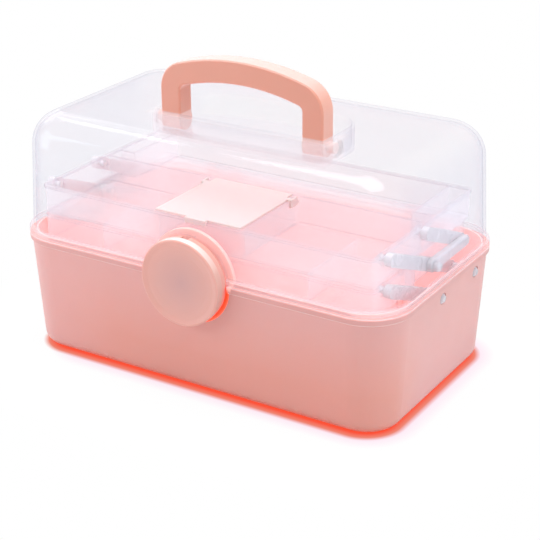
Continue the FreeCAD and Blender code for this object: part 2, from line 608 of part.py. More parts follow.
# ---------------------------------------------------------------- handle
def make_handle():
    """A rounded bar swept along an arch. The body's origin is on the pivot axis."""
    body = new_body("handle_body")
    path = body.newObject("Sketcher::SketchObject", "handle_path")
    path.AttachmentSupport = [(next(item for item in body.Origin.OriginFeatures if item.Role == "XZ_Plane"), "")]
    path.MapMode = "FlatFace"
    half, shoulder = "handle_half_width - handle_bar / 2", "handle_shoulder - handle_bar / 2"
    crown, peak = "handle_arch_radius - handle_bar / 2", "handle_top - handle_pivot_z - handle_bar / 2"
    w, r, big, y1 = number(half), number(shoulder), number(crown), number(peak)
    middle = y1 - big
    shoulder_y = middle + math.sqrt((big - r) ** 2 - (w - r) ** 2)
    turn = math.degrees(math.atan2(shoulder_y - middle, w - r))
    right = line(path, (w, 0), (w, shoulder_y))
    right_arc = arc(path, (w - r, shoulder_y), r, 0, turn)
    crown_arc = arc(path, (0, middle), big, turn, 180 - turn)
    left_arc = arc(path, (r - w, shoulder_y), r, 180 - turn, 180)
    left = line(path, (-w, shoulder_y), (-w, 0))
    chain = [right, right_arc, crown_arc, left_arc, left]
    for first, second in zip(chain, chain[1:]):
        add(path, "Tangent", first, 2, second, 1)
    add(path, "Vertical", right)
    add(path, "Vertical", left)
    add(path, "Equal", right_arc, left_arc)
    add(path, "PointOnObject", crown_arc, 3, -2)
    add(path, "PointOnObject", right, 1, -1)
    add(path, "PointOnObject", left, 2, -1)
    size(path, half, "DistanceX", -1, 1, right, 1)
    size(path, shoulder, "Radius", right_arc)
    size(path, crown, "Radius", crown_arc)
    size(path, "(%s) - (%s)" % (peak, crown), "DistanceY", -1, 1, crown_arc, 3)

    section = new_sketch(body, "handle_section")
    bevelled(section, "handle_half_width - handle_bar", "handle_half_width", "-handle_depth / 2",
             "handle_depth / 2", "handle_edge")
    doc.recompute()
    bar = body.newObject("PartDesign::AdditivePipe", "handle_bar")
    bar.Profile = section
    bar.Spine = (path, ["Edge%d" % i for i in range(1, 6)])
    doc.recompute()

    # Round feet about the pivot, and the trunnions that turn in the lid.
    for side, start, backwards in (("right", "handle_half_width", False), ("left", "-handle_half_width", True)):
        foot = new_sketch(body, "handle_foot_outline_" + side, "YZ_Plane", start)
        circle(foot, "0", "0", "handle_depth / 2")
        pad(body, "handle_foot_" + side, foot, "handle_bar", not backwards)
        axle = new_sketch(body, "handle_axle_outline_" + side, "YZ_Plane", start)
        circle(axle, "0", "0", "trunnion_radius")
        pad(body, "handle_axle_" + side, axle, "trunnion_length", backwards)
    body.Placement = Placement(Vector(0, number("handle_y"), number("handle_pivot_z")), Rotation())
    bind(body, "Placement.Base.y", "handle_y")
    bind(body, "Placement.Base.z", "handle_pivot_z")
    node("handle", body)


# ---------------------------------------------------------------- trays
def tray_blank(name, rim):
    """A solid tray with its stepped rim. The compartments are cut later."""
    body = new_body(name)
    floor = "%s - tray_height" % rim
    wall = new_sketch(body, name + "_wall_outline", "XY_Plane", floor)
    rounded(wall, "-tray_wall_x", "tray_wall_x", "-(tray_front - tray_rim_step)", "tray_rear - tray_rim_step",
            "tray_corner - tray_rim_step")
    base = pad(body, name + "_walls", wall, "tray_height")
    soften(body, name + "_base_edge", base, "tray_base_edge", flat_at("Z", floor), "Chamfer")
    edge = new_sketch(body, name + "_rim_outline", "XY_Plane", "%s - tray_rim_height" % rim)
    rounded(edge, "-tray_length / 2", "tray_length / 2", "-tray_front", "tray_rear", "tray_corner")
    pad(body, name + "_rim", edge, "tray_rim_height")
    return body


def compartments(body, name, rim, rooms):
    """Cuts round-cornered rooms down to the tray's floor. Each is left, right, front, rear."""
    sketch = new_sketch(body, name + "_outline", "XY_Plane", rim)
    for room in rooms:
        rounded(sketch, *room, "tray_inner_corner")
    pocket(body, name, sketch, "tray_height - tray_floor", True)


def wall_discs(body, name, start, length, spots, radius, feature=pad):
    """Round bosses or holes on the side walls: discs about X at each (y, z), from x = start outwards."""
    for side, sign, backwards in (("right", "", False), ("left", "-", True)):
        sketch = new_sketch(body, "%s_outline_%s" % (name, side), "YZ_Plane", "%s(%s)" % (sign, start))
        for y, z in spots:
            circle(sketch, y, z, radius)
        feature(body, "%s_%s" % (name, side), sketch, length, backwards)


def make_upper_tray():
    body = tray_blank("upper_tray_body", "tray_rim_z")
    half = "tray_wall / 2"
    front = ("tray_inner_front", "divider_y - " + half)
    compartments(body, "upper_front_rooms", "tray_rim_z", [
        ("-tray_inner_x", "-centre_divider_x - " + half) + front,
        ("-centre_divider_x + " + half, "centre_divider_x - " + half) + front,
        ("centre_divider_x + " + half, "tray_inner_x") + front])
    compartments(body, "upper_rear_rooms", "tray_rim_z", [
        ("-tray_inner_x", "-upper_step_x - " + half, "upper_step_y + " + half, "tray_inner_rear"),
        ("-upper_step_x + " + half, "upper_step_x - " + half, "divider_y + " + half, "tray_inner_rear"),
        ("upper_step_x + " + half, "tray_inner_x", "upper_step_y + " + half, "tray_inner_rear")])
    compartments(body, "upper_rear_strip", "tray_rim_z", [
        ("-tray_inner_x", "tray_inner_x", "divider_y + " + half, "upper_step_y - " + half)])
    spots = [("first_pivot_y", "upper_pivot_z"), ("mid_pivot_y", "upper_pivot_z")]
    wall_discs(body, "upper_tray_boss", "tray_inner_x - tray_boss_length", "tray_boss_length + tray_wall / 2",
               spots, "tray_boss_radius")
    wall_discs(body, "upper_tray_hole", "tray_inner_x - tray_boss_length", "tray_boss_length + 2 * tray_wall",
               spots, "pin_radius + run_gap", pocket)
    wall_discs(body, "upper_tray_cover_hole", "centre_divider_x - tray_wall", "2 * tray_wall",
               [("cover_axis_y", "cover_axis_z")], "cover_pin_radius + run_gap", pocket)
    node("upper_tray", body)


def make_lower_tray():
    """Its sides step in behind the middle pivot, to make room for the inner arms."""
    rim = "(tray_rim_z - pitch_z)"
    body = tray_blank("lower_tray_body", rim)
    steps = new_sketch(body, "lower_steps_outline", "XY_Plane", rim)
    rectangle(steps, "lower_step_x", "tray_length", "lower_step_y", "tray_length")
    rectangle(steps, "-tray_length", "-lower_step_x", "lower_step_y", "tray_length")
    pocket(body, "lower_steps", steps, "tray_height", True)
    half, step_in = "tray_wall / 2", "(lower_step_x - tray_wall)"
    front = ("tray_inner_front", "divider_y - " + half)
    compartments(body, "lower_rooms", rim, [
        ("-%s" % step_in, "-lower_divider_x - " + half) + front,
        ("-lower_divider_x + " + half, "lower_divider_x - " + half) + front,
        ("lower_divider_x + " + half, step_in) + front,
        ("-%s" % step_in, step_in, "divider_y + " + half, "tray_inner_rear")])
    beside = ("tray_inner_front", "lower_step_y - tray_wall")
    compartments(body, "lower_wide_rooms", rim, [
        ("-tray_inner_x", "-lower_divider_x - " + half) + beside,
        ("lower_divider_x + " + half, "tray_inner_x") + beside])
    first, mid, rear = ((y, "lower_pivot_z") for y in ("first_pivot_y", "mid_pivot_y", "rear_pivot_y"))
    wall_discs(body, "lower_tray_first_boss", "tray_inner_x - tray_boss_length",
               "tray_boss_length + tray_wall / 2", [first], "tray_boss_radius")
    wall_discs(body, "lower_tray_mid_boss", step_in + " - tray_boss_length", "tray_boss_length + tray_wall / 2",
               [mid], "tray_boss_radius")
    wall_discs(body, "lower_tray_rear_boss", step_in + " + tray_wall / 2",
               "tray_length / 2 - %s - tray_wall / 2" % step_in, [rear], "tray_boss_radius")
    wall_discs(body, "lower_tray_first_hole", "tray_inner_x - tray_boss_length",
               "tray_boss_length + 2 * tray_wall", [first], "pin_radius + run_gap", pocket)
    wall_discs(body, "lower_tray_mid_hole", step_in + " - tray_boss_length", "tray_boss_length + 2 * tray_wall",
               [mid], "pin_radius + run_gap", pocket)
    wall_discs(body, "lower_tray_rear_hole", step_in, "tray_length / 2", [rear], "pin_radius + run_gap", pocket)
    node("lower_tray", body)


def make_cover():
    """A flat lid over the middle compartment, with a finger tab in front and two ears that clip over the
    compartment's side walls."""
    body = new_body("cover_body")
    plate = new_sketch(body, "cover_outline", "XY_Plane", "cover_z")
    bridge_front, bridge_rear = "cover_axis_y - cover_bridge_front", "cover_axis_y - cover_bridge_rear"
    rectangle(plate, "-cover_half_width", "cover_half_width", "-(tray_front - cover_front_gap)", bridge_rear)
    pad(body, "cover_plate", plate, "cover_thick")
    tail = new_sketch(body, "cover_tail_outline", "XY_Plane", "cover_z")
    inner = "centre_divider_x - tray_wall / 2 - tray_inner_corner"
    rectangle(tail, "-(%s)" % inner, inner, bridge_front, "-cover_rear")
    pad(body, "cover_tail", tail, "cover_thick")
    bridge = new_sketch(body, "cover_bridge_outline", "XY_Plane", "cover_z")
    rectangle(bridge, "-(cover_ear_x + cover_ear_thick)", "cover_ear_x + cover_ear_thick", bridge_front,
              bridge_rear)
    pad(body, "cover_bridge", bridge, "cover_thick")
    tab = new_sketch(body, "cover_tab_outline", "YZ_Plane", "-cover_tab_half")
    tab_rear = "-(tray_front + cover_tab_gap)"
    tab_front = "-(tray_front + cover_tab_out)"
    rectangle(tab, tab_front, tab_rear, "cover_z - cover_tab_drop", "cover_z + cover_thick")
    pad(body, "cover_tab", tab, "2 * cover_tab_half")
    strip = new_sketch(body, "cover_strip_outline", "YZ_Plane", "-cover_tab_half")
    rectangle(strip, "-(tray_front + (cover_tab_gap + cover_tab_out) / 2)", "-(tray_front - 2 * cover_front_gap)",
              "cover_z", "cover_z + cover_thick")
    pad(body, "cover_strip", strip, "2 * cover_tab_half")
    for side, sign, backwards in (("right", "", False), ("left", "-", True)):
        ear = new_sketch(body, "cover_ear_outline_" + side, "YZ_Plane", "%s(cover_ear_x)" % sign)
        rectangle(ear, bridge_front, "cover_axis_y", "cover_axis_z - cover_ear_radius", "cover_z + cover_thick")
        pad(body, "cover_ear_" + side, ear, "cover_ear_thick", backwards)
        eye = new_sketch(body, "cover_eye_outline_" + side, "YZ_Plane", "%s(cover_ear_x)" % sign)
        circle(eye, "cover_axis_y", "cover_axis_z", "cover_ear_radius")
        pad(body, "cover_eye_" + side, eye, "cover_ear_thick", backwards)
        pin = new_sketch(body, "cover_pin_outline_" + side, "YZ_Plane", "%s(cover_ear_x)" % sign)
        circle(pin, "cover_axis_y", "cover_axis_z", "cover_pin_radius")
        pad(body, "cover_pin_" + side, pin, "cover_ear_gap + 1.5 * tray_wall", not backwards)
    node("tray_cover", body)


# ---------------------------------------------------------------- arms and rails
def stand(body, side, along, x, y, z):
    """Stands a flat bar up on one side of the case: its length runs along (y, z), its thickness outwards."""
    out = Vector(1 if side == "right" else -1, 0, 0)
    length = Vector(0, along[0], along[1]).normalize()
    body.Placement = Placement(Vector(), Rotation(length, out.cross(length), out, "ZXY"))
    bind(body, "Placement.Base.x", x if side == "right" else "-(%s)" % x)
    bind(body, "Placement.Base.y", y)
    bind(body, "Placement.Base.z", z)


def disc(body, name, at, radius, start, length, inwards=False):
    """A round pin on a bar at the distance at along it."""
    sketch = new_sketch(body, name + "_outline", "XY_Plane", start)
    circle(sketch, at, "0", radius)
    return pad(body, name, sketch, length, inwards)


def make_arm(label, side, x, y, z, thick, stub, low_pin, high_pin):
    """One arm. At its lower end a stub points outwards and a pin may point inwards. Its upper end has an
    inward pin, or an eye where there is none. The stub is (radius, length)."""
    body = new_body(label + "_body")
    shape = new_sketch(body, label + "_outline")
    link(shape, "arm_length", "arm_width / 2", "arm_width / 2")
    pad(body, label + "_bar", shape, thick)
    radius, length = stub
    end = disc(body, label + "_stub", "0", radius, "(%s) / 2" % thick, "(%s) / 2 + (%s)" % (thick, length))
    if radius == "stub_radius":
        soften(body, label + "_dome", end, "stub_dome", flat_at("Z", "(%s) + (%s)" % (thick, length)), "Chamfer")
    if low_pin:
        disc(body, label + "_low_pin", "0", "pin_radius", "(%s) / 2" % thick, "(%s) / 2 + (%s)" % (thick, low_pin),
             True)
    if high_pin:
        disc(body, label + "_high_pin", "arm_length", "pin_radius", "(%s) / 2" % thick,
             "(%s) / 2 + (%s)" % (thick, high_pin), True)
    else:
        eye = new_sketch(body, label + "_eye_outline")
        circle(eye, "arm_length", "0", "pin_radius + run_gap")
        pocket(body, label + "_eye", eye, thick)
    stand(body, side, (-number("pitch_y"), number("pitch_z")), x, y, z)
    node(label, body)


def make_arms(side):
    to_wall = "wall_out_x + stub_out - %s"
    make_arm("lower_front_arm_" + side, side, "arm_inner_x", "mid_pivot_y", "tub_pivot_z", "arm_thick",
             ("stub_radius", to_wall % "arm_outer_x"), None, "pin_length")
    make_arm("lower_rear_arm_" + side, side, "inner_arm_inner_x", "rear_pivot_y", "tub_pivot_z",
             "inner_arm_thick", ("stub_radius", to_wall % "inner_arm_outer_x"), None, None)
    make_arm("upper_front_arm_" + side, side, "arm_inner_x", "mid_pivot_y", "lower_pivot_z", "arm_thick",
             ("stub_radius", "free_stub_length"),
             "arm_inner_x - (lower_step_x - tray_wall - tray_boss_length)", "pin_length")
    make_arm("upper_rear_arm_" + side, side, "arm_inner_x", "rear_pivot_y", "lower_pivot_z", "arm_thick",
             ("pin_radius", "rail_gap + rail_pin_length"), "pin_length", "pin_length")


def make_rail(side):
    """A level bar outside the upper arms. The front arm's stub passes through it, and the rear arm's pin
    ends in it."""
    label = "pivot_rail_" + side
    body = new_body(label + "_body")
    shape = new_sketch(body, label + "_outline")
    link(shape, "pitch_y", "rail_front_radius", "rail_rear_radius")
    bar = pad(body, label + "_bar", shape, "rail_thick")
    soften(body, label + "_edge", bar, "rail_edge", flat_at("Z", "rail_thick"), "Chamfer")
    front = new_sketch(body, label + "_eye_outline")
    circle(front, "0", "0", "stub_radius + run_gap")
    pocket(body, label + "_eye", front, "rail_thick")
    rear = new_sketch(body, label + "_socket_outline")
    circle(rear, "pitch_y", "0", "pin_radius + run_gap")
    pocket(body, label + "_socket", rear, "rail_pin_length + rail_gap")
    stand(body, side, (1, 0), "arm_outer_x + rail_gap", "mid_pivot_y", "lower_pivot_z")
    node(label, body)


# ---------------------------------------------------------------- latch
def face_front(body, distance):
    """Turns a body so that its own Z points to the front, on the latch axis at y = -distance."""
    body.Placement = Placement(Vector(), Rotation(Vector(1, 0, 0), Vector(0, 0, 1), Vector(0, -1, 0), "ZXY"))
    bind(body, "Placement.Base.y", "-(%s)" % distance)
    bind(body, "Placement.Base.z", "latch_z")


def make_knob():
    """A dished disc with a raised rim, hollow behind."""
    body = new_body("knob_body")
    profile = new_sketch(body, "knob_profile", "XZ_Plane")
    floor = "knob_depth - knob_dish"
    outline(profile, [
        ("0", floor), ("knob_radius - knob_rim - knob_dish_run", floor),
        ("knob_radius - knob_rim - knob_dish_run * 0.35", "knob_depth - knob_dish * 0.62"),
        ("knob_radius - knob_rim", "knob_depth"), ("knob_radius", "knob_depth"), ("knob_radius", "0"),
        ("knob_radius - knob_skin", "0"), ("knob_radius - knob_skin", "%s - knob_skin" % floor),
        ("0", "%s - knob_skin" % floor)])
    shape = revolve(body, "knob_turn", profile, "V_Axis")
    soften(body, "knob_edge_round", shape, "knob_edge",
           lambda edge: flat_at("Z", "knob_depth")(edge) and edge.Length > 2 * math.pi * number("knob_radius") - 1,
           "Chamfer")
    face_front(body, "cam_front")
    node("latch_knob", body)


def make_cam():
    """The rear half of the knob. The lid's peg drops into the mouth of its track, and a quarter turn carries
    the track round the peg, so that the lid can't lift."""
    body = new_body("cam_body")
    thick = "cam_front - cam_rear"
    face = new_sketch(body, "cam_outline")
    circle(face, "0", "0", "cam_radius")
    pad(body, "cam_disc", face, thick)
    shaft = new_sketch(body, "cam_shaft_outline")
    circle(shaft, "0", "0", "shaft_radius")
    pad(body, "cam_shaft", shaft, "cam_rear - shaft_rear", True)
    hole = new_sketch(body, "cam_screw_outline", "XY_Plane", "shaft_rear - cam_rear")
    circle(hole, "0", "0", "screw_radius + run_gap")
    pocket(body, "cam_screw_hole", hole, "screw_length + run_gap")

    middle, reach = "peg_track_radius", "peg_radius + peg_gap"
    track = new_sketch(body, "cam_track_outline")
    m, r = number(middle), number(reach)
    outside = arc(track, (0, 0), m + r, 90, 180)
    inside = arc(track, (0, 0), m - r, 90, 180)
    mouth_end = arc(track, (0, m), r, -90, 90)
    far_end = arc(track, (-m, 0), r, 180, 360)
    for first, first_end, second, second_end in ((outside, 1, mouth_end, 2), (inside, 1, mouth_end, 1),
                                                 (outside, 2, far_end, 1), (inside, 2, far_end, 2)):
        add(track, "Tangent", first, first_end, second, second_end)
    add(track, "Coincident", outside, 3, -1, 1)
    add(track, "PointOnObject", mouth_end, 3, -2)
    add(track, "PointOnObject", far_end, 3, -1)
    size(track, middle, "DistanceY", -1, 1, mouth_end, 3)
    size(track, reach, "Radius", mouth_end)
    pocket(body, "cam_track", track, thick)
    mouth = new_sketch(body, "cam_mouth_outline")
    rectangle(mouth, "-(%s)" % reach, reach, middle, "2 * cam_radius")
    pocket(body, "cam_mouth", mouth, thick)
    face_front(body, "cam_rear")
    node("latch_cam", body)


def make_latch_fixing():
    """The washer and screw that hold the shaft in the latch plate."""
    washer = rod("washer_disc", "y", "washer_radius", "-shaft_rear", "washer_thick - shaft_rear", z="latch_z")
    eye = rod("washer_eye", "y", "screw_radius + run_gap", "-plate_front", "0", z="latch_z")
    node("latch_washer", cut("washer_cut", washer, eye))
    head = rod("screw_head", "y", "screw_head_radius", "washer_thick - shaft_rear",
               "washer_thick + screw_head_thick - shaft_rear", z="latch_z")
    shank = rod("screw_shank", "y", "screw_radius", "washer_thick - shaft_rear - screw_length",
                "washer_thick - shaft_rear", z="latch_z")
    node("latch_screw", fuse("screw_joined", head, shank))


make_tub()
make_partition()
make_lid()
make_hinge_pins()
make_handle()
make_upper_tray()
make_lower_tray()
make_cover()
for hand in ("right", "left"):
    make_arms(hand)
    make_rail(hand)
make_knob()
make_cam()
make_latch_fixing()


# ---------------------------------------------------------------- checks and files
doc.recompute()
for thing in doc.Objects:
    if "Invalid" in thing.State or "Error" in thing.State:
        raise RuntimeError("%s failed: %s" % (thing.Name, thing.State))
os.makedirs("parts", exist_ok=True)
for thing in NODES:
    shape = thing.Shape
    if shape.isNull() or not shape.isValid():
        raise RuntimeError(thing.Label + " has no valid shape")
    shape.exportStep("parts/%s.step" % thing.Label)
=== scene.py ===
import math
from functools import cached_property

import bpy
from mathutils import Matrix, Vector

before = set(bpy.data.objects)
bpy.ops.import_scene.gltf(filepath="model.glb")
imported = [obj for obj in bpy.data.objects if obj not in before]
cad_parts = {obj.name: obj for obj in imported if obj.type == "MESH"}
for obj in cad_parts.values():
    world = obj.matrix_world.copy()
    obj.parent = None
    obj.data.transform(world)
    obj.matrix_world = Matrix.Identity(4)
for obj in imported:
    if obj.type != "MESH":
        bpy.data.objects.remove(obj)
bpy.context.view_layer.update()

bl_info = {
    "name": "Makeup case",
    "version": (1, 0, 0),
    "blender": (4, 5, 0),
    "location": "3D View > Sidebar > Makeup case",
    "description": "Finishes a makeup storage case in moulded and clear plastic and sets its stage",
    "category": "Object",
}

SIDES = ("right", "left")
RAILS = ["pivot_rail_%s" % side for side in SIDES]
ARMS = ["%s_%s_arm_%s" % (level, place, side)
        for side in SIDES for level in ("lower", "upper") for place in ("front", "rear")]
CLEAR_INNER = ("upper_tray", "lower_tray", "tub_partition")

# Places on the case, in metres: X runs to the right, Y to the rear and Z up
CASE_LENGTH = 0.330
CASE_WIDTH = 0.1905
CASE_CORNER = 0.0345
SEAM = 0.0945
LID_RIM = 0.1000            # top of the lid's thick rim
TUB_BAND = 0.0897           # lower edge of the tub's thick band
TUB_INSET = -0.0083         # from the outline out to the middle of the tub's wall, at the bottom
TUB_LEAN = 0.0602           # how much farther out it is for each metre up
TUB_ROUND = 0.010           # radius where the tub's wall meets its bottom
TUB_CURL = 0.6 * TUB_ROUND  # how far the wall's middle has turned in there
LIP_INSET = 0.0021          # how much farther in the tub's lip starts than the wall's middle
KNOB_HEIGHT = 0.0937        # height of the knob's turning axis
KNOB_EDGE = 0.0330          # radius where the knob's side starts
KNOB_DISH = 0.030           # radius of the knob's dish
KNOB_SEAT = 0.0352          # radius of the tub's seat for the knob
KNOB_SHADE = -0.0885        # place in Y that the seat's shaded face lies in front of
SOCKET_LOW = 0.1715         # bottom of the lid's socket for the handle
SOCKET_TOP = 0.1900         # the lid's top
SOCKET_Y = -0.0144          # middle of the socket
SOCKET_WIDTH = 0.0150       # half the socket's width
SOCKET_LENGTH = 0.0795      # half the socket's length

# Where a zone of the tub's colours starts and where it is full, in metres
LOW_X = (-0.150, -0.070)
LOW_Y = (-0.030, -0.070)
LOW_Z = (0.090, 0.030)
BAND_START = (TUB_BAND, TUB_BAND + 0.0003)
LINE_START = (TUB_BAND - 0.0003, TUB_BAND)
LINE_END = (TUB_BAND + 0.0007, TUB_BAND + 0.0004)
SEAM_START = (SEAM - 0.0007, SEAM - 0.0005)
LIP_START = (SEAM - 0.0010, SEAM - 0.0006)
INSIDE_START = (0.0004, 0.0)
INNER_FLOOR = (0.0010, 0.0014)
FOOT_HEIGHT = (0.0, 0.0075) # the other way round: where it is full and where it ends
SEAT_RADIUS = (KNOB_SEAT + 0.003, KNOB_SEAT + 0.002)
SEAT_FRONT = (KNOB_SHADE + 0.0014, KNOB_SHADE + 0.001)
SHADE_RADIUS = (KNOB_SEAT + 0.0004, KNOB_SEAT)
SHADE_FRONT = (KNOB_SHADE + 0.001, KNOB_SHADE)
SEAT_UPPER = (KNOB_HEIGHT - 0.003, KNOB_HEIGHT)
SEAT_LOWER = (KNOB_HEIGHT, KNOB_HEIGHT - 0.003)

# The same on the lid, in its socket and on the knob
RIM_START = (LID_RIM + 0.0006, LID_RIM)
LIP_LOW = (LID_RIM - 0.0007, LID_RIM - 0.0003)
LIP_HIGH = (LID_RIM + 0.0004, LID_RIM)
LID_FOOT = (SEAM + 0.0008, SEAM + 0.0006)
SOCKET_FADE = 0.001
KNOB_SIDE = (KNOB_EDGE, KNOB_EDGE + 0.0004)

# The same on the floor, counted outwards from the edge of the painted lit patch or of the painted
# bounce
PATCH_FADE = (-0.0055, 0.0)
EDGE_FADE = (0.0, 0.0045)
HALO_FADE = (0.001, 0.015)

# How the plastics pass and reflect light
PLASTIC_IOR = 1.49
TRAY_IOR = 1.06             # low, since the view has to pass thin walls nearly unbent
FORWARD_SHARE = 0.4         # share of the light in milky plastic that goes on forward
STRAIGHT_SHARE = 0.45       # share of the view that passes a tray unbent
THROUGH_SHARE = 0.32        # share of the view that passes the arms and rails
GLANCE_FACE = 0.022         # share of light that the lid reflects where it faces the view
GLANCE_EDGE = 0.28          # how much more it reflects where it is seen edge on
WHITE = (1.0, 1.0, 1.0)
SCATTER_TINT = (1.0, 0.35, 0.25)    # how far each colour of light goes inside salmon plastic
MILK_SCATTER = (1.0, 0.95, 0.95)    # and inside milky plastic
EDGE_TURN = (0.995, 0.93)           # cosine of an edge's turn where its line starts and is full
EDGE_SAMPLES = 6

FRAME_WIDTH = 36.0                  # width of the camera's frame, in millimetres
VIEW_REACH = 50.0                   # how far the camera sees, in metres
CASE_MIDDLE = (0.0, 0.0, 0.1)

# Each lamp's name, length, width, place, target, watts, colour, and whether reflections show it
LAMPS = (
    ("top_lamp", 1.30, 0.75, (0.05, 0.1, 1.3), CASE_MIDDLE, 13.9, WHITE, True),
    ("back_lamp", 1.2, 1.0, (-1.6, 0.7, 1.0), CASE_MIDDLE, 6.0, WHITE, True),
    ("streak_lamp", 0.13, 0.25, (-0.815, 0.23, 1.15), (-0.08, -0.076, 0.188), 0.7, WHITE, True),
    ("front_lamp", 1.0, 0.5, (-0.7, -1.3, 0.9), CASE_MIDDLE, 4.2, (1.0, 0.98, 0.98), False),
    ("side_lamp", 0.8, 1.0, (1.4, -0.1, 0.7), CASE_MIDDLE, 8.6, (0.62, 0.88, 1.0), False),
    ("left_lamp", 0.4, 0.6, (-0.75, -0.5, 0.3), (-0.16, -0.09, 0.06), 2.1, (0.62, 0.84, 1.0), True),
)


# ---------------------------------------------------------------- settings
def tint(name, description, default):
    return bpy.props.FloatVectorProperty(name=name, description=description, default=default,
                                         subtype="COLOR", size=3, min=0.0, max=1.0)


def share(name, description, default):
    return bpy.props.FloatProperty(name=name, description=description, default=default,
                                   subtype="FACTOR", min=0.0, max=1.0)


def length(name, description, default):
    return bpy.props.FloatProperty(name=name, description=description, default=default,
                                   subtype="DISTANCE", unit="LENGTH", min=0.0)


def angle(name, description, degrees):
    return bpy.props.FloatProperty(name=name, description=description, subtype="ANGLE",
                                   default=math.radians(degrees))


class CasePlastics(bpy.types.PropertyGroup):
    """Colours and finishes of the case"""
    tub: tint("Tub", "Colour of the tub's moulded plastic", (0.668, 0.331, 0.308))
    # Painted shade: the tub's colour darker low on the front
    tub_low_shade: tint("Tub low", "The same colour low on the front, where less light comes back",
                  (0.655, 0.277, 0.226))
    tub_rough: share("Tub roughness", "Roughness of the tub's fine matte skin", 0.42)
    # Painted shade on the band under the seam, and a painted highlight line on its lower edge
    tub_band_shade: tint("Tub band", "Colour of the thick band under the tub's seam",
                   (0.62, 0.305, 0.285))
    tub_line_highlight: tint("Tub line", "Colour of the fine line along the band's lower edge",
                   (0.98, 0.86, 0.84))
    tub_line_highlight_share: share("Tub line share", "How strongly the fine line shows", 0.55)
    # Painted light: the tub's inside painted paler, as if lit through the walls
    tub_inside_lit: tint("Tub inside", "Colour of the tub's inside, where light has come through",
                     (0.86, 0.475, 0.45))
    tub_seam: tint("Tub seam", "Colour of the tub's top edge, seen through the lid's rim",
                   (0.80, 0.375, 0.345))
    # Painted light: the seat over the knob's axis painted paler
    tub_arch_lit: tint("Tub arch", "Colour of the seat above the knob's axis", (0.82, 0.45, 0.41))
    # Painted glows: on the tub's inside, and on its seat below and over the knob's axis
    tub_painted_glow: share("Tub glow", "Strength of the light that comes through the tub's walls", 0.215)
    shade_painted_glow: share("Shade glow", "The same on the seat below the knob's axis", 0.6)
    arch_painted_glow: share("Arch glow", "The same on the seat above the knob's axis", 0.4)
    # Painted shade, in deep red, at the foot and on the seat below the knob's axis
    deep_shade: tint("Deep colour", "Colour that light takes where it has gone far through the tub",
               (1.0, 0.095, 0.035))
    handle: tint("Handle", "Colour of the handle", (0.665, 0.268, 0.188))
    # Painted light: the handle paler where it faces up and on its feet in the socket
    handle_top_lit: tint("Handle top", "Colour of the handle where light from above bleaches it",
                     (0.66, 0.390, 0.330))
    handle_feet_lit: tint("Handle feet", "Colour of the handle's feet inside the lid's socket",
                      (0.77, 0.48, 0.43))
    knob: tint("Knob", "Colour of the knob's raised ring", (0.70, 0.343, 0.290))
    # Painted shade: the knob's dish darker towards its middle
    knob_dish_shade: tint("Knob dish", "Colour of the middle of the knob's dish", (0.56, 0.30, 0.28))
    knob_side: tint("Knob side", "Colour of the knob's side", (0.67, 0.370, 0.315))
    # Painted light: the knob's side paler where it faces up
    knob_top_lit: tint("Knob top", "Colour of the knob's side where light from above bleaches it",
                   (0.80, 0.66, 0.63))
    cover: tint("Cover", "Colour of the tray's hinged cover", (0.715, 0.545, 0.535))
    clear: tint("Clear plastic", "Tint that light takes in the lid", (0.983, 0.984, 0.991))
    clear_deep: tint("Clear plastic edge on", "The same where the lid is seen edge on",
                     (0.885, 0.885, 0.94))
    clear_socket: tint("Clear socket", "The same in the socket's walls", (0.99, 0.99, 0.995))
    lid_milk: tint("Lid milk", "Colour of the lid's haze", (0.97, 0.94, 0.965))
    rim_milk: tint("Rim milk", "Colour of the haze in the lid's rim", (0.80, 0.74, 0.78))
    haze: share("Haze", "How milky the lid is", 0.035)
    rim_haze: share("Rim haze", "How much milkier the lid's thick rim is", 0.16)
    # Painted highlight: the fine line on the lid's rim
    lip_highlight_share: share("Lip haze", "How much milkier still the fine line on the rim is", 0.20)
    foot_haze: share("Foot haze", "How much milkier the lid's lower edge is", 0.45)
    socket_haze: share("Socket haze", "How much milkier the socket's walls are", 0.16)
    tray: tint("Tray plastic", "Tint that light takes in the trays", (0.988, 0.975, 0.985))
    tray_milk: tint("Tray milk", "Colour of the trays' haze", (0.88, 0.87, 0.905))
    tray_haze: share("Tray haze", "How milky the trays are", 0.090)
    # Painted shade: the darker line along every tray edge
    tray_edge_shade: tint("Tray edges", "Colour of the trays' edges", (0.50, 0.43, 0.51))
    tray_edge_shade_share: share("Tray lines", "How strongly the trays' edges show", 0.62)
    milk: tint("Milky plastic", "Colour of the arms and rails", (0.74, 0.69, 0.725))
    milk_clear: tint("Milky plastic clear", "Tint that the view takes through them",
                     (0.96, 0.96, 0.97))
    steel: tint("Steel", "Colour of the pins, washer and screw", (0.60, 0.60, 0.61))


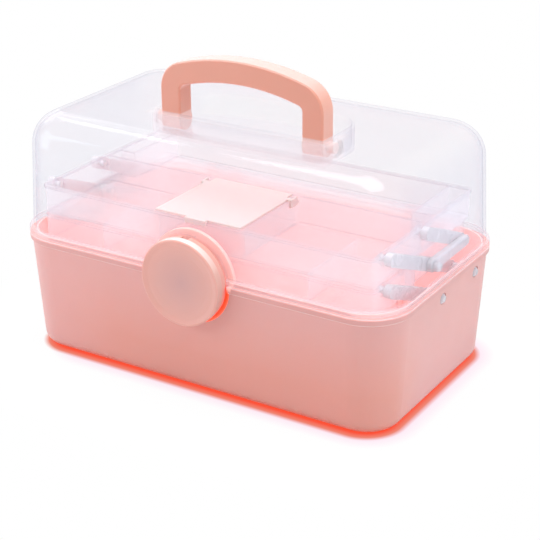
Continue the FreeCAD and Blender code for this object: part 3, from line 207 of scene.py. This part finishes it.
class CaseStage(bpy.types.PropertyGroup):
    """Camera, lamps and floor"""
    camera_place: bpy.props.FloatVectorProperty(
        name="Camera place", description="Where the camera stands",
        subtype="TRANSLATION", unit="LENGTH", size=3, default=(0.5699, -0.9004, 0.5354))
    azimuth: angle("Azimuth", "Turn of the view from the front", 31.79)
    elevation: angle("Elevation", "Height of the view over the horizon", 23.84)
    roll: angle("Roll", "Tilt of the camera about its own line of sight", -0.38)
    lens: bpy.props.FloatProperty(
        name="Lens", description="Focal length in millimetres on a 36 mm frame",
        unit="CAMERA", default=99.34)
    floor_size: length("Floor size", "Length of the floor's sides", 6.0)
    floor: tint("Floor", "Colour of the floor", (0.86, 0.86, 0.86))
    floor_white: share("Floor glow", "How much of the floor's white is its own, next to the case",
                       0.95)
    shade_reach: length("Shade reach", "How far from the case the floor's shade fades out", 0.10)
    # Painted light on the floor: the patch under the tub, its edge and the bounce round the case
    glow: tint("Glow", "Light that falls through the tub's bottom to the floor",
               (1.0, 0.080, 0.032))
    glow_edge: tint("Glow edge", "The same light where it fades", (0.86, 0.215, 0.145))
    halo: tint("Halo", "Faint bounce on the floor round the case", (1.0, 0.80, 0.91))
    glow_length: length("Glow length", "Half the length of the lit patch under the tub", 0.1570)
    glow_width: length("Glow width", "Half the width of the lit patch under the tub", 0.0897)
    glow_corner: length("Glow corner", "Corner radius of the lit patch", 0.029)
    glow_shift: length("Glow shift", "How far the patch lies to the right of the case's middle",
                       0.0015)
    halo_shift: length("Halo shift", "How far the bounce lies to the right of the case's middle",
                       0.012)
    halo_short: length("Halo short", "How much less far than the patch the bounce reaches",
                       0.010)
    sky: share("Sky", "Strength of the even light from all round", 0.62)


def plastics():
    return bpy.context.scene.case_plastics


# ---------------------------------------------------------------- material helpers
class Recipe:
    """The nodes of a new material or world, with short calls to add and link them."""

    def __init__(self, owner, output="ShaderNodeOutputMaterial"):
        self.owner = owner
        owner.use_nodes = True
        self.tree = owner.node_tree
        self.tree.nodes.clear()
        self.output = self.node(output)

    @cached_property
    def place(self):
        """The place on the piece, in the piece's own axes."""
        return self.node("ShaderNodeTexCoord").outputs["Object"]

    def put(self, value, socket):
        """Links another socket to the socket, or sets it to a number, a direction or a colour."""
        if isinstance(value, bpy.types.NodeSocket):
            self.tree.links.new(value, socket)
        elif socket.type == "RGBA":
            socket.default_value = (*value, 1.0)
        else:
            socket.default_value = value

    def node(self, kind, sockets=None, **properties):
        """A new node, with its properties set by name and its sockets by name or number."""
        made = self.tree.nodes.new(kind)
        for name, value in properties.items():
            setattr(made, name, value)
        for name, value in (sockets or {}).items():
            self.put(value, made.inputs[name])
        return made

    def noise(self, scale, detail=2.0, rough=0.5):
        sockets = {"Scale": scale, "Detail": detail, "Roughness": rough, "Vector": self.place}
        return self.node("ShaderNodeTexNoise", sockets).outputs["Fac"]

    def span(self, source, low, high, start=0.0, end=1.0):
        """The source's range from low to high, spread from start to end."""
        sockets = {"From Min": low, "From Max": high, "To Min": start, "To Max": end,
                   "Value": source}
        return self.node("ShaderNodeMapRange", sockets).outputs["Result"]

    def calc(self, how, first, second=0.0):
        """One step of arithmetic. Each side is a socket or a number."""
        made = self.node("ShaderNodeMath", {0: first, 1: second}, operation=how)
        return made.outputs["Value"]

    def plus(self, first, second):
        return self.calc("ADD", first, second)

    def minus(self, first, second):
        return self.calc("SUBTRACT", first, second)

    def times(self, first, second):
        return self.calc("MULTIPLY", first, second)

    def power(self, first, second):
        return self.calc("POWER", first, second)

    def blend(self, factor, first, second):
        """A colour between two colours. Each is a socket or three numbers."""
        sockets = {"Factor": factor, 6: first, 7: second}
        return self.node("ShaderNodeMix", sockets, data_type="RGBA").outputs[2]

    def mix(self, factor, first, second):
        """A shader between two shaders."""
        return self.node("ShaderNodeMixShader", {0: factor, 1: first, 2: second}).outputs["Shader"]

    def part(self, axis):
        """One coordinate of the place on the piece: X, Y or Z."""
        return self.node("ShaderNodeSeparateXYZ", {"Vector": self.place}).outputs[axis]

    def normal(self, axis):
        """One part of the way the surface faces: X, Y or Z."""
        normal = self.node("ShaderNodeNewGeometry").outputs["Normal"]
        return self.node("ShaderNodeSeparateXYZ", {"Vector": normal}).outputs[axis]

    def off(self, axis, middle):
        """Distance from a middle along an axis."""
        return self.calc("ABSOLUTE", self.minus(self.part(axis), middle))

    def reach(self, first, second):
        """Length of a flat vector from its two sides."""
        return self.calc("SQRT", self.plus(self.power(first, 2.0), self.power(second, 2.0)))

    def slant(self):
        """0 where the surface faces the view, 1 where it is seen edge on."""
        return self.node("ShaderNodeLayerWeight", {"Blend": 0.5}).outputs["Facing"]

    def bump(self, height, strength, distance, under=None):
        sockets = {"Strength": strength, "Distance": distance, "Height": height}
        if under is not None:
            sockets["Normal"] = under
        return self.node("ShaderNodeBump", sockets).outputs["Normal"]

    def soft_edge(self, radius):
        """The way the surface faces, rounded over its edges."""
        made = self.node("ShaderNodeBevel", {"Radius": radius}, samples=EDGE_SAMPLES)
        return made.outputs["Normal"]

    def edges(self, radius):
        """1 along the edges of the piece, 0 on its flat faces."""
        normal = self.node("ShaderNodeNewGeometry").outputs["Normal"]
        turned = self.node("ShaderNodeVectorMath", {0: normal, 1: self.soft_edge(radius)},
                           operation="DOT_PRODUCT")
        return self.span(turned.outputs["Value"], *EDGE_TURN)

    def cloudy(self, haze):
        """A share that drifts round the haze's mean."""
        return self.span(self.noise(22.0, 3.0), 0.25, 0.75, 0.75 * haze, 1.25 * haze)

    def milk(self, colour):
        """Light scattered inside clear plastic, part of it back and part of it forward."""
        back = self.node("ShaderNodeBsdfDiffuse", {"Color": colour})
        forward = self.node("ShaderNodeBsdfTranslucent", {"Color": colour})
        return self.mix(FORWARD_SHARE, back.outputs["BSDF"], forward.outputs["BSDF"])

    def clear(self, colour):
        """The view goes straight through and takes the colour."""
        return self.node("ShaderNodeBsdfTransparent", {"Color": colour}).outputs["BSDF"]

    def finish(self, shader):
        self.put(shader, self.output.inputs["Surface"])
        return self.owner


def new_material(name):
    return Recipe(bpy.data.materials.new(name))


def scaled(colour, amount):
    return tuple(min(1.0, part * amount) for part in colour)


def moulded(name, colour, rough, soft=0.0, scatter=0.0, edge=0.0006, zone=None):
    """Coloured moulded plastic: a faint cloudiness, a fine skin, and edges that catch the light.
    A zone changes the colour of part of the piece, and may paint light or shade on it and give it a
    painted glow."""
    recipe = new_material(name)
    cloud = recipe.span(recipe.noise(14.0, 3.0), 0.3, 0.7)
    shade = recipe.blend(cloud, scaled(colour, 0.975), scaled(colour, 1.02))
    glow = None
    if zone is not None:
        shade, glow = zone(recipe, shade)
    smear = recipe.span(recipe.noise(45.0, 4.0, 0.6), 0.3, 0.75, rough - 0.05, rough + 0.06)
    skin = recipe.bump(recipe.noise(1600.0), 0.10, 0.00005, recipe.soft_edge(edge))
    waves = recipe.bump(recipe.noise(60.0, 1.0), 0.05, 0.0004, skin)
    sockets = {"Base Color": shade, "Roughness": smear, "Normal": waves, "IOR": PLASTIC_IOR,
               "Sheen Weight": soft, "Subsurface Weight": scatter,
               "Subsurface Radius": SCATTER_TINT, "Subsurface Scale": 0.006}
    if glow is not None:
        sockets.update({"Emission Color": shade, "Emission Strength": glow})
    return recipe.finish(recipe.node("ShaderNodeBsdfPrincipled", sockets).outputs["BSDF"])


def socket_of(recipe):
    """1 on the walls of the lid's socket for the handle."""
    height = recipe.part("Z")
    inside = recipe.times(recipe.span(height, SOCKET_LOW - SOCKET_FADE, SOCKET_LOW),
                          recipe.span(height, SOCKET_TOP, SOCKET_TOP - SOCKET_FADE))
    for axis, middle, half in (("X", 0.0, SOCKET_LENGTH), ("Y", SOCKET_Y, SOCKET_WIDTH)):
        side = recipe.span(recipe.off(axis, middle), half + SOCKET_FADE, half)
        inside = recipe.times(inside, side)
    return inside


def lid_film(name, look):
    """Clear plastic of a thin wall: the view goes straight through, it reflects more at a slant,
    and its thick rim, its lower edge and the socket for the handle are milky, with a painted
    highlight line on the rim."""
    recipe = new_material(name)
    slant = recipe.slant()
    thick = recipe.power(slant, 3.0)
    socket = socket_of(recipe)
    # The tint is deeper at a slant, less so on level faces, and a little deeper on the end walls
    level = recipe.span(recipe.calc("ABSOLUTE", recipe.normal("Z")), 0.5, 0.95, 1.0, 0.6)
    end_wall = recipe.span(recipe.calc("ABSOLUTE", recipe.normal("X")), 0.6, 0.95, 0.0, 0.18)
    depth = recipe.plus(recipe.times(thick, level), end_wall)
    tint_at_slant = recipe.blend(depth, look.clear, look.clear_deep)
    through = recipe.clear(recipe.blend(socket, tint_at_slant, look.clear_socket))
    # Haze in the walls, thicker at a slant, at the lower edge and round the handle's feet
    height = recipe.part("Z")
    foot = recipe.span(height, *LID_FOOT, 0.0, look.foot_haze)
    extra = recipe.plus(foot, recipe.times(socket, look.socket_haze))
    walls = recipe.plus(recipe.cloudy(look.haze), recipe.times(thick, 2.0 * look.haze))
    hazy = recipe.mix(recipe.plus(walls, extra), through, recipe.milk(look.lid_milk))
    # The rim, and a painted highlight: a fine milky line on it
    rim = recipe.span(height, *RIM_START, 0.0, look.rim_haze)
    lip = recipe.times(recipe.span(height, *LIP_LOW),
                       recipe.span(height, *LIP_HIGH, 0.0, look.lip_highlight_share))
    body = recipe.mix(recipe.plus(rim, lip), hazy, recipe.milk(look.rim_milk))
    shine = recipe.node("ShaderNodeBsdfGlossy", {
        "Roughness": recipe.span(recipe.noise(30.0, 3.0), 0.3, 0.7, 0.03, 0.08),
        "Normal": recipe.bump(recipe.noise(35.0, 1.0), 0.12, 0.0006)})
    glance = recipe.plus(recipe.times(recipe.power(slant, 4.0), GLANCE_EDGE), GLANCE_FACE)
    return recipe.finish(recipe.mix(glance, body, shine.outputs["BSDF"]))


def tray_plastic(name, look):
    """Thin milky clear plastic: part of the view goes straight through, part is bent a little,
    walls seen edge on turn white, and every edge draws a fine line of painted shade."""
    recipe = new_material(name)
    bent = recipe.node("ShaderNodeBsdfPrincipled", {
        "Base Color": look.tray, "Transmission Weight": 1.0, "IOR": TRAY_IOR,
        "Coat Weight": 0.35, "Coat IOR": PLASTIC_IOR, "Coat Roughness": 0.06,
        "Roughness": recipe.span(recipe.noise(40.0, 3.0), 0.3, 0.7, 0.01, 0.03),
        "Normal": recipe.bump(recipe.noise(40.0, 1.0), 0.04, 0.0004)})
    clear = recipe.mix(STRAIGHT_SHARE, bent.outputs["BSDF"], recipe.clear(look.tray))
    edge_on = recipe.times(recipe.power(recipe.slant(), 2.5), 3.0 * look.tray_haze)
    upright = recipe.span(recipe.calc("ABSOLUTE", recipe.normal("Z")), 0.3, 0.8, 1.7, 0.5)
    haze = recipe.plus(recipe.times(recipe.cloudy(look.tray_haze), upright), edge_on)
    milky = recipe.mix(haze, clear, recipe.milk(look.tray_milk))
    # Painted shade: a darker line along every edge
    line = recipe.times(recipe.edges(0.0009), look.tray_edge_shade_share)
    return recipe.finish(recipe.mix(line, milky, recipe.milk(look.tray_edge_shade)))


def milky_plastic(name, look):
    """Thick milky plastic that a little of the view goes through."""
    recipe = new_material(name)
    cloud = recipe.span(recipe.noise(60.0, 3.0), 0.3, 0.7)
    shader = recipe.node("ShaderNodeBsdfPrincipled", {
        "Base Color": recipe.blend(cloud, scaled(look.milk, 0.95), scaled(look.milk, 1.04)),
        "Roughness": recipe.span(recipe.noise(45.0, 4.0, 0.6), 0.3, 0.75, 0.22, 0.34),
        "Subsurface Weight": 0.5, "Subsurface Radius": MILK_SCATTER, "Subsurface Scale": 0.004,
        "Normal": recipe.bump(recipe.noise(900.0), 0.08, 0.00005, recipe.soft_edge(0.001))})
    through = recipe.clear(look.milk_clear)
    return recipe.finish(recipe.mix(THROUGH_SHARE, shader.outputs["BSDF"], through))


def bare_steel(name, colour):
    """Drawn steel with fine streaks."""
    recipe = new_material(name)
    streak = recipe.span(recipe.noise(300.0, 4.0), 0.3, 0.7)
    shader = recipe.node("ShaderNodeBsdfPrincipled", {
        "Metallic": 1.0,
        "Base Color": recipe.blend(streak, scaled(colour, 0.85), scaled(colour, 1.1)),
        "Roughness": recipe.span(recipe.noise(500.0, 3.0), 0.3, 0.7, 0.25, 0.4),
        "Normal": recipe.bump(recipe.noise(900.0), 0.1, 0.00005)})
    return recipe.finish(shader.outputs["BSDF"])


def paint(material, *nodes):
    """Puts a material on CAD nodes."""
    for name in nodes:
        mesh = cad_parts[name].data
        if not mesh.materials:
            mesh.materials.append(material)
        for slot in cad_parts[name].material_slots:
            slot.material = material


def let_light_in(*nodes):
    """Lamps and bounced light pass these clear pieces as if they weren't there."""
    for name in nodes:
        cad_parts[name].visible_shadow = False
        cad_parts[name].visible_diffuse = False


# ---------------------------------------------------------------- pieces
def beyond_patch(recipe, half_length, half_width, corner, shift=0.0):
    """Distance outside a rectangle with rounded corners, less than 0 inside it."""
    along = recipe.minus(recipe.off("X", shift), half_length - corner)
    across = recipe.minus(recipe.off("Y", 0.0), half_width - corner)
    past = recipe.reach(recipe.calc("MAXIMUM", along), recipe.calc("MAXIMUM", across))
    inner = recipe.calc("MINIMUM", recipe.calc("MAXIMUM", along, across))
    return recipe.minus(recipe.plus(past, inner), corner)


def from_knob_axis(recipe):
    """Distance from the knob's turning axis."""
    return recipe.reach(recipe.part("X"), recipe.minus(recipe.part("Z"), KNOB_HEIGHT))


def inside_tub(recipe, height):
    """1 on the tub's inner faces. The wall leans, so its middle moves out on the way up; it turns
    in at the bottom and under the lip."""
    gap = beyond_patch(recipe, CASE_LENGTH / 2, CASE_WIDTH / 2, CASE_CORNER)
    middle = recipe.plus(recipe.times(height, TUB_LEAN), TUB_INSET)
    curl = recipe.power(recipe.span(height, TUB_ROUND, 0.0), 2.0)
    middle = recipe.minus(middle, recipe.times(curl, TUB_CURL))
    middle = recipe.minus(middle, recipe.span(height, *LIP_START, 0.0, LIP_INSET))
    return recipe.times(recipe.span(recipe.minus(gap, middle), *INSIDE_START),
                        recipe.span(height, *INNER_FLOOR))


def tub_zones(recipe, colour):
    """The tub's colours with painted light, shade and glow: its outside, its inside, the seat round
    the knob and the foot.
    """
    look = plastics()
    height, depth = recipe.part("Z"), recipe.part("Y")
    # Painted shade: darker low on the front, fading out towards the left end
    front = recipe.times(recipe.span(depth, *LOW_Y), recipe.span(recipe.part("X"), *LOW_X))
    low = recipe.times(recipe.span(height, *LOW_Z), front)
    colour = recipe.blend(low, colour, look.tub_low_shade)
    # Painted shade on the band under the seam, and a painted highlight line along its lower edge
    colour = recipe.blend(recipe.span(height, *BAND_START), colour, look.tub_band_shade)
    line = recipe.times(recipe.span(height, *LINE_START),
                        recipe.span(height, *LINE_END, 0.0, look.tub_line_highlight_share))
    colour = recipe.blend(line, colour, look.tub_line_highlight)
    colour = recipe.blend(recipe.span(height, *SEAM_START), colour, look.tub_seam)
    # The inside, but for the seat round the knob: painted paler and given a painted glow, as if lit
    # through the walls
    seat = recipe.times(recipe.span(from_knob_axis(recipe), *SEAT_RADIUS),
                        recipe.span(depth, *SEAT_FRONT))
    inside = recipe.times(inside_tub(recipe, height), recipe.minus(1.0, seat))
    colour = recipe.blend(inside, colour, look.tub_inside_lit)
    # The seat: painted light and a painted glow over the knob's axis, and painted shade with a
    # painted glow below it
    arch = recipe.times(seat, recipe.span(height, *SEAT_UPPER))
    colour = recipe.blend(arch, colour, look.tub_arch_lit)
    behind = recipe.times(recipe.span(from_knob_axis(recipe), *SHADE_RADIUS),
                          recipe.span(depth, *SHADE_FRONT))
    behind = recipe.times(behind, recipe.span(height, *SEAT_LOWER))
    # Painted shade at the foot and on the seat below the knob's axis, in the deep red that light
    # takes after a long way through the plastic
    foot = recipe.power(recipe.span(height, *FOOT_HEIGHT, 1.0, 0.0), 1.6)
    shade = recipe.times(recipe.calc("MAXIMUM", foot, behind), recipe.minus(1.0, inside))
    colour = recipe.blend(shade, colour, look.deep_shade)
    seat_glow = recipe.calc("MAXIMUM", recipe.times(behind, look.shade_painted_glow),
                            recipe.times(arch, look.arch_painted_glow))
    return colour, recipe.plus(recipe.times(inside, look.tub_painted_glow), seat_glow)


def handle_zones(recipe, colour):
    """Painted light on the handle: paler where it faces up, and paler on its feet in the socket."""
    look = plastics()
    above = recipe.span(recipe.normal("Z"), 0.45, 0.95)
    colour = recipe.blend(above, colour, look.handle_top_lit)
    feet = recipe.span(recipe.part("Z"), SOCKET_TOP, SOCKET_TOP - SOCKET_FADE)
    return recipe.blend(feet, colour, look.handle_feet_lit), None


def knob_zones(recipe, colour):
    """The knob's dish with painted shade, darker towards its middle, and its side with painted
    light, paler where it faces up.
    """
    look = plastics()
    radius = from_knob_axis(recipe)
    face = recipe.blend(recipe.span(radius, 0.0, KNOB_DISH, 1.0, 0.0), colour, look.knob_dish_shade)
    above = recipe.span(recipe.normal("Z"), 0.4, 1.0)
    side = recipe.blend(above, look.knob_side, look.knob_top_lit)
    return recipe.blend(recipe.span(radius, *KNOB_SIDE), face, side), None


class CaseTub(bpy.types.Operator):
    """Finishes the tub in salmon moulded plastic, with a painted glow where light comes through it,
    and painted light and shade
    """
    bl_idname = "case.tub"
    bl_label = "Tub"

    def execute(self, context):
        look = plastics()
        paint(moulded("tub_plastic", look.tub, rough=look.tub_rough, soft=0.10, scatter=0.25,
                      zone=tub_zones), "tub")
        return {"FINISHED"}


class CaseClearParts(bpy.types.Operator):
    """Finishes the lid, both trays and the tub's partition in clear plastic"""
    bl_idname = "case.clear_parts"
    bl_label = "Clear parts"

    def execute(self, context):
        paint(lid_film("lid_clear", plastics()), "lid")
        paint(tray_plastic("tray_clear", plastics()), *CLEAR_INNER)
        let_light_in("lid", *CLEAR_INNER)
        return {"FINISHED"}


class CaseHandle(bpy.types.Operator):
    """Finishes the handle in satin salmon plastic"""
    bl_idname = "case.handle"
    bl_label = "Handle"

    def execute(self, context):
        paint(moulded("handle_plastic", plastics().handle, rough=0.38, soft=0.7, scatter=0.2,
                      edge=0.0012, zone=handle_zones), "handle")
        return {"FINISHED"}


class CaseLatch(bpy.types.Operator):
    """Finishes the knob and its cam in dusty pink plastic: a side painted paler by light from
    above, a ring and a dish painted darker by shade
    """
    bl_idname = "case.latch"
    bl_label = "Latch knob and cam"

    def execute(self, context):
        paint(moulded("knob_plastic", plastics().knob, rough=0.36, scatter=0.15, edge=0.0008,
                      zone=knob_zones), "latch_knob", "latch_cam")
        return {"FINISHED"}


class CaseCover(bpy.types.Operator):
    """Finishes the tray's hinged cover in peach cream plastic"""
    bl_idname = "case.cover"
    bl_label = "Tray cover"

    def execute(self, context):
        paint(moulded("cover_plastic", plastics().cover, rough=0.4, scatter=0.3), "tray_cover")
        return {"FINISHED"}


class CaseArms(bpy.types.Operator):
    """Finishes the arms and rails in milky plastic"""
    bl_idname = "case.arms"
    bl_label = "Arms and rails"

    def execute(self, context):
        paint(milky_plastic("milky_plastic", plastics()), *RAILS, *ARMS)
        return {"FINISHED"}


class CaseSteel(bpy.types.Operator):
    """Finishes the hinge pins, washer and screw in bare steel"""
    bl_idname = "case.steel"
    bl_label = "Steel fasteners"

    def execute(self, context):
        paint(bare_steel("bare_steel", plastics().steel),
              "lid_hinge_pins", "latch_washer", "latch_screw")
        return {"FINISHED"}


# ---------------------------------------------------------------- stage
def lamp(name, size_x, size_y, place, target, power, colour, glossy):
    """A soft rectangular lamp that looks at the target."""
    light = bpy.data.lights.new(name, "AREA")
    light.shape = "RECTANGLE"
    light.size = size_x
    light.size_y = size_y
    light.energy = power
    light.color = colour
    item = bpy.data.objects.new(name, light)
    item.location = place
    item.rotation_euler = (Vector(target) - Vector(place)).to_track_quat("-Z", "Y").to_euler()
    item.visible_glossy = glossy
    bpy.context.scene.collection.objects.link(item)


def seen_white(recipe):
    """1 where a ray comes from the camera, a reflection or clear plastic."""
    path = recipe.node("ShaderNodeLightPath").outputs
    either = recipe.calc("MAXIMUM", path["Is Camera Ray"], path["Is Glossy Ray"])
    return recipe.calc("MAXIMUM", either, path["Is Transmission Ray"])


def make_world(strength):
    """Even light of the given strength, which itself looks white."""
    recipe = Recipe(bpy.data.worlds.new("studio"), "ShaderNodeOutputWorld")
    level = recipe.span(seen_white(recipe), 0.0, 1.0, strength, 1.0)
    sky = recipe.node("ShaderNodeBackground", {"Color": WHITE, "Strength": level})
    bpy.context.scene.world = recipe.finish(sky.outputs["Background"])


def make_floor(stage):
    """A pale floor that fades to white away from the case, with a painted patch of the light that
    the tub's bottom lets through and a painted pink bounce round it."""
    half = stage.floor_size / 2
    corners = [(-half, -half, 0), (half, -half, 0), (half, half, 0), (-half, half, 0)]
    mesh = bpy.data.meshes.new("floor")
    mesh.from_pydata(corners, [], [(0, 1, 2, 3)])
    floor = bpy.data.objects.new("floor", mesh)
    bpy.context.scene.collection.objects.link(floor)
    recipe = new_material("floor_white")
    lit = recipe.node("ShaderNodeBsdfDiffuse", {"Color": stage.floor})
    # Painted light: a red patch under the tub, fading through its edge colour to a pink halo
    gap = beyond_patch(recipe, stage.glow_length, stage.glow_width, stage.glow_corner,
                       stage.glow_shift)
    far = beyond_patch(recipe, stage.glow_length - stage.halo_short, stage.glow_width,
                       stage.glow_corner, stage.halo_shift)
    halo = recipe.blend(recipe.span(far, *HALO_FADE), stage.halo, WHITE)
    fading = recipe.blend(recipe.span(gap, *EDGE_FADE), stage.glow_edge, halo)
    colour = recipe.blend(recipe.span(gap, *PATCH_FADE), stage.glow, fading)
    glow = recipe.node("ShaderNodeEmission", {"Strength": 1.0, "Color": colour})
    own = recipe.span(gap, 0.0, stage.shade_reach, stage.floor_white, 1.0)
    white = recipe.times(seen_white(recipe), own)
    surface = recipe.mix(white, lit.outputs["BSDF"], glow.outputs["Emission"])
    floor.data.materials.append(recipe.finish(surface))


def make_camera(stage):
    """The camera, turned and tilted by the stage's angles."""
    camera = bpy.data.objects.new("camera", bpy.data.cameras.new("camera"))
    camera.data.sensor_width = FRAME_WIDTH
    camera.data.lens = stage.lens
    camera.data.clip_end = VIEW_REACH
    across, rise = stage.azimuth, stage.elevation
    back = Vector((math.sin(across) * math.cos(rise), -math.cos(across) * math.cos(rise),
                   math.sin(rise)))
    right = Vector((0, 0, 1)).cross(back).normalized()
    upright = Matrix((right, back.cross(right), back)).transposed()
    camera.rotation_euler = (upright @ Matrix.Rotation(stage.roll, 3, "Z")).to_euler()
    camera.location = stage.camera_place
    bpy.context.scene.collection.objects.link(camera)
    bpy.context.scene.camera = camera


class CaseSetStage(bpy.types.Operator):
    """Sets the camera, the lamps, the even white surroundings and the floor"""
    bl_idname = "case.stage"
    bl_label = "Stage"

    def execute(self, context):
        stage = context.scene.case_stage
        context.scene.view_settings.view_transform = "Standard"
        make_camera(stage)
        make_world(stage.sky)
        make_floor(stage)
        for values in LAMPS:
            lamp(*values)
        return {"FINISHED"}


# ---------------------------------------------------------------- add-on
OPERATORS = (CaseTub, CaseClearParts, CaseHandle, CaseLatch, CaseCover, CaseArms, CaseSteel,
             CaseSetStage)


class CasePanel(bpy.types.Panel):
    """Lists the pieces of the case"""
    bl_idname = "VIEW3D_PT_makeup_case"
    bl_label = "Makeup case"
    bl_space_type = "VIEW_3D"
    bl_region_type = "UI"
    bl_category = "Makeup case"

    def draw(self, context):
        for group in (context.scene.case_plastics, context.scene.case_stage):
            for name in group.bl_rna.properties.keys():
                if name not in ("rna_type", "name"):
                    self.layout.prop(group, name)
        for operator in OPERATORS:
            self.layout.operator(operator.bl_idname)


def register():
    for item in (CasePlastics, CaseStage, *OPERATORS, CasePanel):
        bpy.utils.register_class(item)
    bpy.types.Scene.case_plastics = bpy.props.PointerProperty(type=CasePlastics)
    bpy.types.Scene.case_stage = bpy.props.PointerProperty(type=CaseStage)


def unregister():
    del bpy.types.Scene.case_stage
    del bpy.types.Scene.case_plastics
    for item in (CasePanel, *reversed(OPERATORS), CaseStage, CasePlastics):
        bpy.utils.unregister_class(item)


def main():
    register()
    for operator in OPERATORS:
        group, name = operator.bl_idname.split(".")
        getattr(getattr(bpy.ops, group), name)()


if __name__ == "__main__":
    main()
